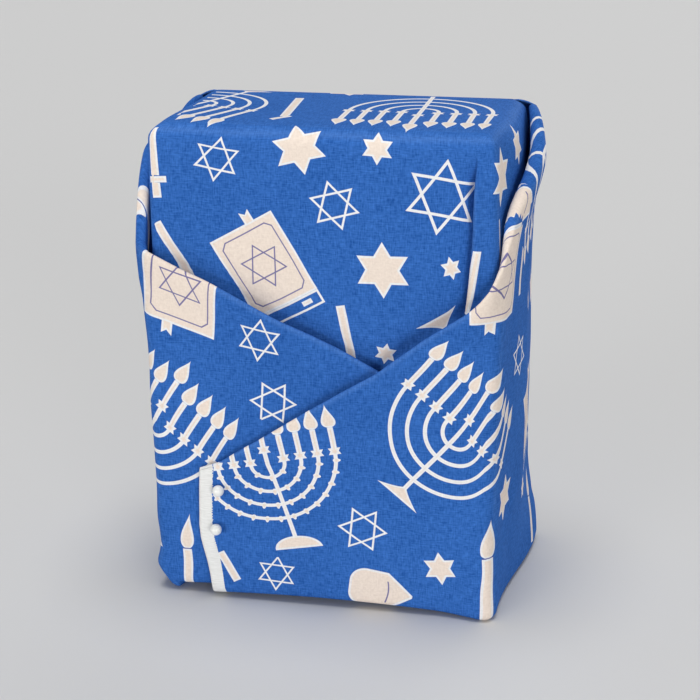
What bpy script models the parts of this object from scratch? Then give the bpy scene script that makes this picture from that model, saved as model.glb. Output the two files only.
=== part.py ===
"""Furoshiki wrap: a square of printed cotton folded round a box-shaped parcel, held by two pearl-headed pins.

Frame: metres, +Z up, the origin at the bottom centre, the pinned front facing -Y and the right side +X.

The cloth is one sheet, and it is modelled as one middle surface that gets its thickness at the end. The back
is the hub. From its two upright edges a ply runs forward along each side and across the front: the left ply
first, then the right ply over it. Below, these plies and the back turn under and meet in a mitred slit. From
the back's upper edge the cloth runs over the top as a lid, and on down the front and both sides as the hood,
inside the two plies.
"""
import math

import bmesh
import bpy
from mathutils import Vector

# Driving dimensions
WIDTH = 0.0920           # across the front, outside the side plies
DEPTH = 0.0575           # front to back, outside the plies
HEIGHT = 0.125
PLY = 0.0011             # thickness of one modelled ply: cotton folded to two or three layers
PLY_STEP = 0.0017        # from the middle of one ply to the middle of the next
CORNER = 0.0016          # radius of the hood's upright corners, inside the plies'
TOP_ROUND = 0.0024       # radius of the hood's top edges
FOOT_ROUND = 0.0020      # radius where a ply turns under
SLIT_HALF = 0.0013       # half the width of the slit left in the folded underside
SLIT_CORNER = 0.0008     # the least corner radius of the turned-under cloth

# The hood's middle surface: half sizes and height. Two steps of plies lie before it and one behind it
HOOD_X = WIDTH / 2 - PLY_STEP - PLY / 2
HOOD_Y = (DEPTH - 3 * PLY_STEP - PLY) / 2
HOOD_Z = HEIGHT - PLY / 2
HOOD_BACK = PLY_STEP / 2  # so the hood's middle lies this far behind the parcel's
STRAIGHT_X = HOOD_X - CORNER

# Upper edge of each ply on the front: (across, up) in metres, from the upright edge inwards
LEFT_EDGE = [(-0.0453, 0.0935), (-0.0353, 0.0880), (-0.0152, 0.0782), (0.0125, 0.0642), (0.0290, 0.0557)]
RIGHT_EDGE = [(0.0453, 0.1030), (0.0421, 0.0940), (0.0387, 0.0870), (0.0324, 0.0813), (0.0240, 0.0748),
              (0.0128, 0.0649), (0.0032, 0.0590), (-0.0272, 0.0379), (-0.0318, 0.0362)]
# Free end of the right ply, from its foot up: (up, across)
FREE_END = [(0.0, -0.0310), (0.0042, -0.0312), (0.0129, -0.0316), (0.0194, -0.0324), (0.0362, -0.0318)]
LEFT_END = 0.0290        # the left ply ends here, under the right one
FOOT_RISE = 0.006        # its foot climbs onto the right ply's within this distance of the free end
HOOD_FOOT = 0.0085       # lower end of the hood, and a row of the plies, so that both bend alike there

# How far a side ply gapes from the hood near its slanted upper edge, on the left (-1) and right (1), how far
# down that reaches, and where on the side's swell the gape is at the back and front corner (0.5 is its crest)
GAPE = {-1: 0.0036, 1: 0.0038}
GAPE_DEPTH = 0.030
GAPE_BACK = 0.12
GAPE_FRONT = {-1: 0.64, 1: 0.80}
EDGE_DROP = {-1: 5, 1: 1.5}  # a side's upper edge falls as this power of the way forward
EDGE_LIFT = 0.0004       # a flap's slanted edge lifts this much off the cloth under it
EDGE_LIFT_DEPTH = 0.009
CORNER_DROP = 0.0026     # a ply's upper edge falls this far round the back corner

# Upright pleat in the hood's front: its line leans from PLEAT_LOW to PLEAT_HIGH, (across, up)
PLEAT_LOW = (0.0325, 0.0801)
PLEAT_HIGH = (0.0358, 0.1199)
PLEAT_RISE = 0.0011
PLEAT_FADE = 0.012       # the pleat dies out over this height below its upper end
PLEAT_HALF = 0.0006      # half the width of its step

# How the parcel strays from a box
BELLY_SIDES = 0.006      # as a share of the place across
BELLY_FRONT = 0.0005
WAVE = 0.0005
HEAD_NARROW = 0.028      # narrower at the top by this share, over the height HEAD_NARROW_DOWN
HEAD_NARROW_DOWN = 0.012
# Lower corners: (left or right, front or back, how far out it stands, how far up that reaches)
LOWER_CORNERS = [(-1, -1, -0.0034, 0.010), (1, -1, -0.0024, 0.025), (1, 1, 0.0038, 0.028)]

# Cells along each stretch
CELLS_FRONT = 11
CELLS_CORNER = 4         # an even number: the lid's corner lies in the middle of the bend
CELLS_SIDE = 7
CELLS_BACK = 14
CELLS_UNDER = 4
CELLS_ROUND = 3
CELLS_FOOT = 2
CELLS_WALL = 11
LAST_CELLS = 0.003       # height of the last few cells below a slanted edge

# Pins: (across, up) of each head's middle, from the photographed places
PIN_HEAD = 0.0030
PIN_FLAT = 0.00105       # width of the head's flat on the cloth's side
PIN_SHANK = 0.0007
PIN_SHANK_LENGTH = 0.0024
PIN_CLEARANCE = 0.00032
PIN_SIDES = 16
PIN_RINGS = 7
PINS = {"pin_upper": (-0.0276, 0.0312), "pin_lower": (-0.0284, 0.0203)}

# How far behind the frame's middle the parcel sits, because the pins' heads stand out in front
SET_BACK = 0.0017


def blend(a, b, t):
    return a + (b - a) * t


def ease(t):
    t = min(max(t, 0.0), 1.0)
    return t * t * (3 - 2 * t)


def along(table, x):
    """The second value of a table of pairs at x, by straight lines between its rows."""
    rows = sorted(table)
    if x <= rows[0][0]:
        return rows[0][1]
    for (x0, y0), (x1, y1) in zip(rows, rows[1:]):
        if x <= x1:
            return blend(y0, y1, (x - x0) / (x1 - x0))
    return rows[-1][1]


class Station:
    """A place on the outline seen from above, on the right half from the back's middle to the front.

    stretch is back, back_corner, side, front_corner or front, and share is how far along it. side is 1 on
    the right and -1 on the left. The front runs on past the middle to the other side."""

    def __init__(self, stretch, share, side):
        self.stretch = stretch
        self.share = share
        self.side = side

    def plan(self, out, inset=0.0):
        """The point in plan and the outward normal, out from the hood's outline and inset from there."""
        radius = max(CORNER + out - inset, SLIT_CORNER)
        line_x = HOOD_X + out - inset - radius
        line_y = HOOD_Y + out - inset - radius
        if self.stretch == "back":
            x, y, nx, ny = self.share * line_x, line_y + radius, 0.0, 1.0
        elif self.stretch == "back_corner":
            turn = self.share * math.pi / 2
            nx, ny = math.sin(turn), math.cos(turn)
            x, y = line_x + radius * nx, line_y + radius * ny
        elif self.stretch == "side":
            x, y, nx, ny = line_x + radius, blend(line_y, -line_y, self.share), 1.0, 0.0
        elif self.stretch == "front_corner":
            turn = self.share * math.pi / 2
            nx, ny = math.cos(turn), -math.sin(turn)
            x, y = line_x + radius * nx, -line_y + radius * ny
        else:
            x, y, nx, ny = blend(line_x, -line_x, self.share), -line_y - radius, 0.0, -1.0
        return Vector((self.side * x, y + HOOD_BACK, 0.0)), Vector((self.side * nx, ny, 0.0))

    def across(self):
        """Place across the front, on its own ply, for the tables of the front."""
        return self.side * blend(STRAIGHT_X, -STRAIGHT_X, self.share)


def share_at(across, side):
    """The share along the front stretch at a place across the front."""
    return (STRAIGHT_X - side * across) / (2 * STRAIGHT_X)


def ring_stations(side):
    """Stations of a ply from next to the back's middle to its free end on the front."""
    stations = []
    for i in range(1, CELLS_BACK // 2 + 1):
        stations.append(Station("back", i / (CELLS_BACK // 2), side))
    for i in range(1, CELLS_CORNER + 1):
        stations.append(Station("back_corner", i / CELLS_CORNER, side))
    for i in range(1, CELLS_SIDE + 1):
        stations.append(Station("side", i / CELLS_SIDE, side))
    for i in range(1, CELLS_CORNER + 1):
        stations.append(Station("front_corner", i / CELLS_CORNER, side))
    end = LEFT_END if side < 0 else FREE_END[-1][1]
    last = share_at(end, side)
    for i in range(1, CELLS_FRONT + 1):
        stations.append(Station("front", last * i / CELLS_FRONT, side))
    return stations


def ring_out(station):
    """How far a ply's middle lies outside the hood's: one step, two where the right crosses the left."""
    if station.side < 0 or station.stretch in ("back", "back_corner", "side"):
        return PLY_STEP
    if station.stretch == "front_corner":
        return PLY_STEP * (1 + ease(station.share))
    return 2 * PLY_STEP


def ring_foot(station):
    """Height of the turned-under cloth's middle: on the ground, or, for the left ply, on the right's foot."""
    ground = PLY / 2
    if station.side < 0 and station.stretch == "front":
        start = FREE_END[0][1] - FOOT_RISE
        return ground + PLY_STEP * ease((station.across() - start) / (FOOT_RISE - PLY))
    return ground


def ring_top(station):
    """Height of a ply's upper edge, or None where it runs on over the top."""
    table = LEFT_EDGE if station.side < 0 else RIGHT_EDGE
    corner_end = HOOD_Z - CORNER_DROP
    if station.stretch == "back":
        return None
    if station.stretch == "back_corner":
        return HOOD_Z - CORNER_DROP * station.share ** 2
    if station.stretch == "side":
        return blend(corner_end, table[0][1], station.share ** EDGE_DROP[station.side])
    if station.stretch == "front_corner":
        return blend(table[0][1], along(table, station.side * STRAIGHT_X), station.share)
    return along(table, station.across())


def gape(station, z):
    """How far a ply stands off near its slanted edge: a little on the front, most on the side."""
    top = ring_top(station)
    if top is None:
        return 0.0
    lift = EDGE_LIFT * ease(1 - (top - z) / EDGE_LIFT_DEPTH)
    if station.stretch == "front":
        return lift
    in_front = GAPE_FRONT[station.side]
    if station.stretch == "side":
        swell = math.sin(math.pi * blend(GAPE_BACK, in_front, station.share))
    elif station.stretch == "front_corner":
        swell = math.sin(math.pi * in_front) * (1 - station.share)
    else:
        swell = math.sin(math.pi * GAPE_BACK) * station.share
    wide = GAPE[station.side] * swell * ease(1 - (top - z) / GAPE_DEPTH)
    return max(wide, lift * station.share) if station.stretch == "front_corner" else wide


def ring_column(station):
    """Points of a ply at one station, from the slit underneath up to its upper edge."""
    out, foot, top = ring_out(station), ring_foot(station), ring_top(station)
    profile = []
    for i in range(CELLS_UNDER):
        profile.append((blend(HOOD_Y + out - SLIT_HALF, FOOT_ROUND, i / CELLS_UNDER), foot))
    for i in range(CELLS_ROUND):
        turn = i / CELLS_ROUND * math.pi / 2
        profile.append((FOOT_ROUND * (1 - math.sin(turn)), foot + FOOT_ROUND * (1 - math.cos(turn))))
    arc_foot = HOOD_Z - TOP_ROUND
    split = arc_foot if top is None else min(arc_foot, top - LAST_CELLS)
    for i in range(CELLS_FOOT):
        profile.append((0.0, blend(foot + FOOT_ROUND, HOOD_FOOT, i / CELLS_FOOT)))
    for i in range(CELLS_WALL + 1):
        profile.append((0.0, blend(HOOD_FOOT, split, i / CELLS_WALL)))
    for i in range(1, CELLS_ROUND + 1):
        if top is None:
            turn = i / CELLS_ROUND * math.pi / 2
            profile.append(((TOP_ROUND + out) * (1 - math.cos(turn)), arc_foot + TOP_ROUND * math.sin(turn)))
            continue
        z = blend(split, top, i / CELLS_ROUND)
        climb = min(max((z - arc_foot) / TOP_ROUND, 0.0), 1.0)
        profile.append(((TOP_ROUND + out) * (1 - math.sqrt(1 - climb * climb)), z))
    points = []
    for inset, z in profile:
        place = station
        if station.stretch == "front" and station.side > 0:
            end = share_at(along(FREE_END, z), 1) / share_at(FREE_END[-1][1], 1)
            place = Station("front", station.share * end, 1)
        spot, normal = place.plan(out, inset)
        if inset == 0.0:
            spot += normal * gape(station, z)
        points.append(Vector((spot.x, spot.y, z)))
    return points


def pleat_line(z):
    """Place across of the pleat's line at a height: it leans above PLEAT_LOW and is upright below."""
    return blend(PLEAT_LOW[0], PLEAT_HIGH[0], max(z - PLEAT_LOW[1], 0.0) / (PLEAT_HIGH[1] - PLEAT_LOW[1]))


def hood_stations():
    """Stations of the hood from its left wing's free edge round the front to its right wing's.

    Each wing goes round the upright back corner as a tuck that stops below the lid."""
    tuck = [Station("back_corner", i / CELLS_CORNER, 1) for i in range(1, CELLS_CORNER)]
    wing = [Station("side", i / CELLS_SIDE, 1) for i in range(CELLS_SIDE + 1)]
    wing += [Station("front_corner", i / CELLS_CORNER, 1) for i in range(1, CELLS_CORNER + 1)]
    wing = tuck + wing
    left = [Station(s.stretch, s.share, -1) for s in wing]
    cells = CELLS_BACK - CELLS_CORNER - 2
    front = [Station("front", i / cells, -1) for i in range(1, cells)]
    fold = [Station("pleat", edge, -1) for edge in (-1, 1)]
    return left + front + fold + wing[::-1]


def hood_column(station):
    """Points of the hood at one station, from its foot up and over the top edge."""
    profile = [(0.0, blend(HOOD_FOOT, HOOD_Z - TOP_ROUND, i / CELLS_WALL)) for i in range(CELLS_WALL + 1)]
    for i in range(1, CELLS_ROUND + 1):
        turn = i / CELLS_ROUND * math.pi / 2
        profile.append((TOP_ROUND * (1 - math.cos(turn)), HOOD_Z - TOP_ROUND + TOP_ROUND * math.sin(turn)))
    if station.stretch == "back_corner":
        profile = profile[:CELLS_WALL + 1]
    points = []
    for inset, z in profile:
        place = station
        if station.stretch == "pleat":
            line = min(pleat_line(z), STRAIGHT_X - 2 * PLEAT_HALF)
            place = Station("front", share_at(line + station.share * PLEAT_HALF, -1), -1)
        spot, normal = place.plan(0.0, inset)
        edge = ease((spot.x - pleat_line(z) + PLEAT_HALF) / (2 * PLEAT_HALF))
        turn = {"front": 1.0, "front_corner": ease(place.share)}.get(place.stretch, 0.0)
        spot += normal * PLEAT_RISE * turn * edge * ease((PLEAT_HIGH[1] - z) / PLEAT_FADE)
        points.append(Vector((spot.x, spot.y, z)))
    return points


def settle(point):
    """The parcel isn't a perfect box: its sides belly and wave, and its lower corners are pulled about.

    It also sets the parcel in its frame, whose origin is under the middle of all that is built."""
    x, y, z = point
    high = z / HEIGHT
    belly = math.sin(math.pi * min(max(high, 0.0), 1.0))
    x *= 1 + BELLY_SIDES * belly - HEAD_NARROW * ease((z - HEIGHT) / HEAD_NARROW_DOWN + 1)
    y -= BELLY_FRONT * belly * (1 - (2 * x / WIDTH) ** 2)
    x += WAVE * math.sin(5.1 * high + 40 * y) * belly
    y += WAVE * math.sin(4.3 * high + 55 * x) * belly
    for side, end, stand, reach in LOWER_CORNERS:
        near = ease((side * x - WIDTH / 3) / (WIDTH / 8)) * ease(0.5 + end * y / (DEPTH * 0.8))
        x += side * stand * near * ease(1 - z / reach)
    return Vector((x, y + SET_BACK, z))


def add_strip(bm, first, second):
    """Faces between two columns of vertices."""
    for a, b, c, d in zip(first, second, second[1:], first[1:]):
        bm.faces.new((a, b, c, d))


def add_lid(bm, back, front, left, right):
    """The top: a patch stretched between its four edges, the back and front ones from left to right."""
    across, deep = len(back) - 1, len(left) - 1
    rows = [back]
    for j in range(1, deep):
        v = j / deep
        row = [left[j]]
        for i in range(1, across):
            u = i / across
            spot = blend(back[i].co, front[i].co, v) + blend(left[j].co, right[j].co, u)
            spot -= blend(blend(back[0].co, back[-1].co, u), blend(front[0].co, front[-1].co, u), v)
            row.append(bm.verts.new(spot))
        rows.append(row + [right[j]])
    rows.append(front)
    for first, second in zip(rows, rows[1:]):
        add_strip(bm, second, first)


def cloth_surface():
    """The cloth's middle surface as one mesh."""
    bm = bmesh.new()

    def column(points):
        return [bm.verts.new(settle(p)) for p in points]

    middle = column(ring_column(Station("back", 0.0, 1)))
    left_ply = [middle] + [column(ring_column(s)) for s in ring_stations(-1)]
    right_ply = [middle] + [column(ring_column(s)) for s in ring_stations(1)]
    for first, second in zip(left_ply, left_ply[1:]):
        add_strip(bm, second, first)
    for first, second in zip(right_ply, right_ply[1:]):
        add_strip(bm, first, second)

    half = CELLS_BACK // 2
    back = [c[-1] for c in left_ply[half:0:-1]] + [c[-1] for c in right_ply[:half + 1]]
    hood = []
    for station in hood_stations():
        points = hood_column(station)
        if station.stretch == "side" and station.share == 0.0:
            hood.append(column(points[:-1]) + [back[0] if station.side < 0 else back[-1]])
        else:
            hood.append(column(points))
    for first, second in zip(hood, hood[1:]):
        add_strip(bm, second, first)
    rim = [c[-1] for c in hood[CELLS_CORNER - 1:1 - CELLS_CORNER]]
    turn = CELLS_SIDE + CELLS_CORNER // 2
    add_lid(bm, back, rim[turn:-turn], rim[:turn + 1], rim[:-turn - 2:-1])
    bmesh.ops.recalc_face_normals(bm, faces=bm.faces)
    mesh = bpy.data.meshes.new("wrap_cloth")
    bm.to_mesh(mesh)
    bm.free()
    return mesh


def new_material(name, colour, roughness):
    material = bpy.data.materials.new(name)
    material.use_nodes = True
    shader = material.node_tree.nodes["Principled BSDF"]
    shader.inputs["Base Color"].default_value = (*colour, 1.0)
    shader.inputs["Roughness"].default_value = roughness
    return material


def new_object(name, mesh, material=None):
    thing = bpy.data.objects.new(name, mesh)
    bpy.context.scene.collection.objects.link(thing)
    if material:
        mesh.materials.append(material)
    return thing


def pin_place(across, up):
    """Where a pin's head meets the right ply's face on the front, the clearance included."""
    station = Station("front", share_at(across, 1), 1)
    spot, normal = station.plan(2 * PLY_STEP)
    spot += normal * gape(station, up)
    face = settle((spot.x, spot.y, up))
    return face - Vector((0.0, PLY / 2 + PIN_CLEARANCE, 0.0))


def turned(name, profile, place, material=None):
    """A solid turned about the line that runs into the cloth at a place. profile is (along, radius)."""
    bm = bmesh.new()
    verts = [bm.verts.new((r, a, 0.0)) for a, r in profile]
    edges = [bm.edges.new(pair) for pair in zip(verts, verts[1:])]
    bmesh.ops.spin(bm, geom=verts + edges, cent=(0, 0, 0), axis=(0, 1, 0), angle=2 * math.pi,
                   steps=PIN_SIDES, use_merge=True)
    bmesh.ops.remove_doubles(bm, verts=bm.verts, dist=1e-6)
    bmesh.ops.recalc_face_normals(bm, faces=bm.faces)
    mesh = bpy.data.meshes.new(name)
    bm.to_mesh(mesh)
    bm.free()
    mesh.shade_smooth()
    thing = new_object(name, mesh, material)
    thing.location = place
    return thing


def make_pin(name, across, up, material):
    """A pearl head, flat where it meets the cloth, on a short shank through the right ply."""
    ball, shank = PIN_HEAD / 2, PIN_SHANK / 2
    flat = PIN_FLAT / 2
    middle = -math.sqrt(ball ** 2 - flat ** 2)
    start = math.pi - math.asin(flat / ball)
    profile = [(middle - ball, 0.0)]
    for i in range(1, PIN_RINGS + 1):
        turn = start * i / PIN_RINGS
        profile.append((middle - ball * math.cos(turn), ball * math.sin(turn)))
    profile += [(0.0, shank), (PIN_SHANK_LENGTH - shank, shank), (PIN_SHANK_LENGTH, 0.0)]
    return turned(name, profile, pin_place(across, up), material)


def make_pin_hole(name, across, up):
    """The cutter for a pin's hole in the cloth."""
    radius = PIN_SHANK / 2 + PIN_CLEARANCE
    reach = PIN_SHANK_LENGTH + PIN_CLEARANCE
    profile = [(-PIN_HEAD / 2, 0.0), (-PIN_HEAD / 2, radius), (reach, radius), (reach, 0.0)]
    cutter = turned(name, profile, pin_place(across, up))
    cutter.hide_render = True
    cutter.display_type = "WIRE"
    return cutter


def make_cloth(material):
    cloth = new_object("wrap_cloth", cloth_surface(), material)
    wall = cloth.modifiers.new("Ply", "SOLIDIFY")
    wall.thickness = PLY
    wall.offset = 0.0
    wall.use_even_offset = True
    for name, (across, up) in PINS.items():
        hole = cloth.modifiers.new(name + "_hole", "BOOLEAN")
        hole.operation = "DIFFERENCE"
        hole.object = make_pin_hole(name + "_hole", across, up)
    return cloth


def main():
    for thing in list(bpy.data.objects):
        bpy.data.objects.remove(thing)
    cotton = new_material("printed_cotton", (0.034, 0.122, 0.413), 0.85)
    pearl = new_material("pearl_bead", (0.86, 0.88, 0.87), 0.15)
    make_cloth(cotton)
    for name, (across, up) in PINS.items():
        make_pin(name, across, up, pearl)


main()
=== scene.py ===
"""The looks of the furoshiki wrap: thin folded cotton with its print, two pearl-headed pins, light and camera.

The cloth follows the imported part's layers: the back is the hub, a ply runs from it round each side and across
the front, the left one first and the right one over it, and from the back's top edge the cloth runs on over
the top and down the front as the hood. Lengths are in metres, and the print's in millimetres.
"""
import math

import bmesh
import bpy
import numpy as np
from mathutils import Matrix, Vector, noise


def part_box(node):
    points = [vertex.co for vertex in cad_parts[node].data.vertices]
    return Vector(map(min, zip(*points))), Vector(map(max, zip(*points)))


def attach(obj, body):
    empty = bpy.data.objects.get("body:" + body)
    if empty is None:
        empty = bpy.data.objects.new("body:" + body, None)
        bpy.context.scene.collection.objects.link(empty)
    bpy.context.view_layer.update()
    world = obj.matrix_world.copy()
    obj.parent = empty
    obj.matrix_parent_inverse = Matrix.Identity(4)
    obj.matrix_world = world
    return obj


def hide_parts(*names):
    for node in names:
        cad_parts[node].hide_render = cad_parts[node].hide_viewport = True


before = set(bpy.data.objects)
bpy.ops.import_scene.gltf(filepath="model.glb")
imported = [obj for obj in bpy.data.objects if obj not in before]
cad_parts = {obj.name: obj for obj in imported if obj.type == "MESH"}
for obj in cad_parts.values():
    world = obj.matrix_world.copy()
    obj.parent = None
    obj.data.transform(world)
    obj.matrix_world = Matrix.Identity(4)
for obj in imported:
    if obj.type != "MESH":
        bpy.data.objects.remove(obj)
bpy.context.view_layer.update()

# The parcel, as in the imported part
WIDTH = 0.0920
DEPTH = 0.0575
HEIGHT = 0.125
CAD_PLY = 0.0011
CAD_STEP = 0.0017
CORNER = 0.0016
TOP_ROUND = 0.0040
FOOT_ROUND = 0.0020
SLIT_HALF = 0.0013
HOOD_X = WIDTH / 2 - CAD_STEP - CAD_PLY / 2
HOOD_Y = (DEPTH - 3 * CAD_STEP - CAD_PLY) / 2
HOOD_Z = HEIGHT - 0.0003
HOOD_BACK = CAD_STEP / 2
HOOD_FOOT = 0.0085
STRAIGHT_X = HOOD_X - CORNER
STRAIGHT_Y = HOOD_Y - CORNER
SET_BACK = 0.0017

# The cloth
CLOTH = 0.0004           # thickness of one layer
STEP = 0.0017            # from ply to ply
FOLD = 0.0004            # half the distance between the two layers of a folded edge
TURN_IN = 0.011          # how far the folded edge runs back inside
SELVEDGE = 0.0033        # width of the white edge, and how much more it has at the foot
SELVEDGE_FOOT = 0.0010
SELVEDGE_RISE = 0.0005

LEFT_EDGE = [(-0.0453, 0.0935), (-0.0353, 0.0880), (-0.0152, 0.0782), (0.0125, 0.0642), (0.0290, 0.0557)]
RIGHT_EDGE = [(0.0453, 0.1020), (0.0436, 0.0900), (0.0421, 0.0869), (0.0391, 0.0844), (0.0352, 0.0817), (0.0324, 0.0800),
              (0.0288, 0.0775), (0.0240, 0.0741),
              (0.0128, 0.0649), (0.0032, 0.0590), (-0.0272, 0.0379), (-0.0325, 0.0360)]
FREE_END = [(0.0, -0.0302), (0.0020, -0.0304), (0.0057, -0.0308), (0.0100, -0.0315), (0.0139, -0.0323), (0.0170, -0.0329),
            (0.0205, -0.0332), (0.0270, -0.0330), (0.0362, -0.0325)]
LEFT_END = 0.0290
FOOT_RISE = (-0.0425, 0.003)   # where the left ply's foot leaves the ground, and over how much width
GAPE = {-1: 0.0024, 1: 0.0022}
PUFF = {-1: 0.0012, 1: 0.0014}   # the folded edge stands open this far on the sides
PUFF_DEPTH = 0.014
GAPE_DEPTH = 0.030
GAPE_BACK = 0.12
GAPE_FRONT = {-1: 0.78, 1: 0.80}
EDGE_DROP = {-1: 8, 1: 1.5}
EDGE_DIP = {-1: 0.22, 1: 0.0}   # this share of the drop is near the back
EDGE_LIFT = {-1: [(-0.050, 0.0024), (-0.012, 0.0024), (-0.004, 0.0010), (0.002, 0.0003)],
             1: [(-0.031, 0.0004), (-0.020, 0.0012), (-0.004, 0.0017), (0.006, 0.0024), (0.050, 0.0024)]}
EDGE_LIFT_DEPTH = 0.015
CORNER_DROP = 0.0026
PLEAT_LOW = (0.0338, 0.0801)
PLEAT_HIGH = (0.0371, 0.1199)
PLEAT_FADE = 0.008
# The pleat's course in mm: place when flat, shift when folded, rise, and cloth used up
PLEAT = [(-6.0, 0.0, 0.0, 0.0), (-4.0, 0.0, -0.2, 0.0), (-2.6, 0.0, -0.6, 0.0), (-1.6, 0.2, -1.2, 0.1), (-1.0, 0.5, -1.6, 0.3),
         (-0.6, 0.9, -1.8, 0.5), (-0.35, 1.3, -1.7, 0.8), (-0.15, 1.5, -1.1, 1.1), (0.0, 1.35, -0.3, 1.5), (0.15, 0.9, 0.3, 2.0),
         (0.3, 0.2, 0.55, 2.6), (0.45, -0.5, 0.75, 3.1), (0.6, -0.9, 1.1, 3.4), (0.75, -1.0, 1.5, 3.6),
         (0.95, -0.85, 1.9, 3.7), (1.3, -0.6, 2.1, 3.75), (2.0, -0.3, 2.0, 3.8), (3.0, 0.0, 1.6, 3.8)]
PLEAT_TAKES = 3.8

# Cells along each stretch
CELLS_FRONT = 52
CELLS_CORNER = 6
CELLS_SIDE = 34
CELLS_BACK = 60
CELLS_HOOD = CELLS_BACK - CELLS_CORNER
CELLS_TAIL = 18
CELLS_NEAR = 12
CELLS_UNDER = 12
CELLS_ROUND = 4
CELLS_FOOT = 8
CELLS_WALL = 60
CELLS_RIM = 6
CELLS_TURN = 6
CELLS_INNER = 6
LAST_CELLS = 0.003


def blend(a, b, t):
    return a + (b - a) * t


def ease(t):
    t = min(max(t, 0.0), 1.0)
    return t * t * (3 - 2 * t)


def along(table, x):
    """The second value of a table of pairs at x, by straight lines between its rows."""
    rows = sorted(table)
    if x <= rows[0][0]:
        return rows[0][1]
    for (x0, y0), (x1, y1) in zip(rows, rows[1:]):
        if x <= x1:
            return blend(y0, y1, (x - x0) / (x1 - x0))
    return rows[-1][1]


class Station:
    """A place on the outline seen from above, on one side of the back's middle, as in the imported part."""

    def __init__(self, stretch, share, side):
        self.stretch = stretch
        self.share = share
        self.side = side

    def plan(self, out, inset=0.0):
        """The point in plan and the outward normal, out from the hood's outline and inset from there."""
        radius = max(CORNER + out - inset, 0.0006)
        line_x = HOOD_X + out - inset - radius
        line_y = HOOD_Y + out - inset - radius
        if self.stretch == "back":
            x, y, nx, ny = self.share * line_x, line_y + radius, 0.0, 1.0
        elif self.stretch == "back_corner":
            turn = self.share * math.pi / 2
            nx, ny = math.sin(turn), math.cos(turn)
            x, y = line_x + radius * nx, line_y + radius * ny
        elif self.stretch == "side":
            x, y, nx, ny = line_x + radius, blend(line_y, -line_y, self.share), 1.0, 0.0
        elif self.stretch == "front_corner":
            turn = self.share * math.pi / 2
            nx, ny = math.cos(turn), -math.sin(turn)
            x, y = line_x + radius * nx, -line_y + radius * ny
        else:
            x, y, nx, ny = blend(line_x, -line_x, self.share), -line_y - radius, 0.0, -1.0
        return Vector((self.side * x, y + HOOD_BACK, 0.0)), Vector((self.side * nx, ny, 0.0))

    def across(self):
        """Place across the front."""
        return self.side * blend(STRAIGHT_X, -STRAIGHT_X, self.share)

    def run(self):
        """Length along the outline from the back's middle, in millimetres, for the print."""
        arc = (CORNER + STEP) * math.pi / 2
        starts = {"back": 0.0, "back_corner": STRAIGHT_X, "side": STRAIGHT_X + arc,
                  "front_corner": STRAIGHT_X + arc + 2 * STRAIGHT_Y, "front": FRONT_RUN}
        spans = {"back": STRAIGHT_X, "back_corner": arc, "side": 2 * STRAIGHT_Y,
                 "front_corner": arc, "front": 2 * STRAIGHT_X}
        return 1000 * (starts[self.stretch] + spans[self.stretch] * self.share)


FRONT_RUN = STRAIGHT_X + (CORNER + STEP) * math.pi + 2 * STRAIGHT_Y
FRONT_MIDDLE = 1000 * (FRONT_RUN + STRAIGHT_X)   # the run at the front's middle


def share_at(across, side):
    """The share along the front stretch at a place across the front."""
    return (STRAIGHT_X - side * across) / (2 * STRAIGHT_X)


def ring_stations(side):
    """Stations of a ply from the back's middle to its free end on the front."""
    stations = [Station("back", i / (CELLS_BACK // 2), side) for i in range(CELLS_BACK // 2 + 1)]
    stations += [Station("back_corner", i / CELLS_CORNER, side) for i in range(1, CELLS_CORNER + 1)]
    stations += [Station("side", i / CELLS_SIDE, side) for i in range(1, CELLS_SIDE + 1)]
    stations += [Station("front_corner", i / CELLS_CORNER, side) for i in range(1, CELLS_CORNER + 1)]
    last = share_at(LEFT_END if side < 0 else FREE_END[-1][1], side)
    near = share_at(-0.0350, side) if side < 0 else last * CELLS_NEAR / CELLS_FRONT
    tail = last * (CELLS_FRONT - 4) / CELLS_FRONT
    stations += [Station("front", near * i / CELLS_NEAR, side) for i in range(1, CELLS_NEAR)]
    between = CELLS_FRONT - 4 - CELLS_NEAR
    stations += [Station("front", blend(near, tail, i / between), side) for i in range(between)]
    stations += [Station("front", blend(tail, last, i / CELLS_TAIL), side) for i in range(1, CELLS_TAIL + 1)]
    return stations


def ring_out(station):
    """How far a ply's middle lies outside the hood's."""
    if station.side < 0 or station.stretch in ("back", "back_corner", "side"):
        return STEP
    if station.stretch == "front_corner":
        return STEP * (1 + ease(station.share))
    return 2 * STEP


def ring_foot(station):
    """Height of the turned-under cloth's middle."""
    ground = CLOTH / 2
    if station.side < 0 and station.stretch == "front":
        return ground + STEP * ease((station.across() - FOOT_RISE[0]) / FOOT_RISE[1])
    return ground


def ring_top(station):
    """Height of a ply's upper edge, or None where it runs on over the top."""
    table = LEFT_EDGE if station.side < 0 else RIGHT_EDGE
    corner_end = HOOD_Z - CORNER_DROP
    if station.stretch == "back":
        return None
    if station.stretch == "back_corner":
        return HOOD_Z - CORNER_DROP * station.share ** 2
    if station.stretch == "side":
        dip = EDGE_DIP[station.side]
        fallen = dip * ease(station.share / 0.45) + (1 - dip) * station.share ** EDGE_DROP[station.side]
        return blend(corner_end, table[0][1], fallen)
    if station.stretch == "front_corner":
        return blend(table[0][1], along(table, station.side * STRAIGHT_X), station.share)
    return along(table, station.across())


def swell(station):
    """How far a side ply swells from the hood near its slanted edge, from 0 to 1."""
    in_front = GAPE_FRONT[station.side]
    if station.stretch == "side":
        return math.sin(math.pi * blend(GAPE_BACK, in_front, station.share))
    if station.stretch == "front_corner":
        return math.sin(math.pi * in_front) * (1 - station.share)
    if station.stretch == "back_corner":
        return math.sin(math.pi * GAPE_BACK) * station.share
    return 0.0


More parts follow.
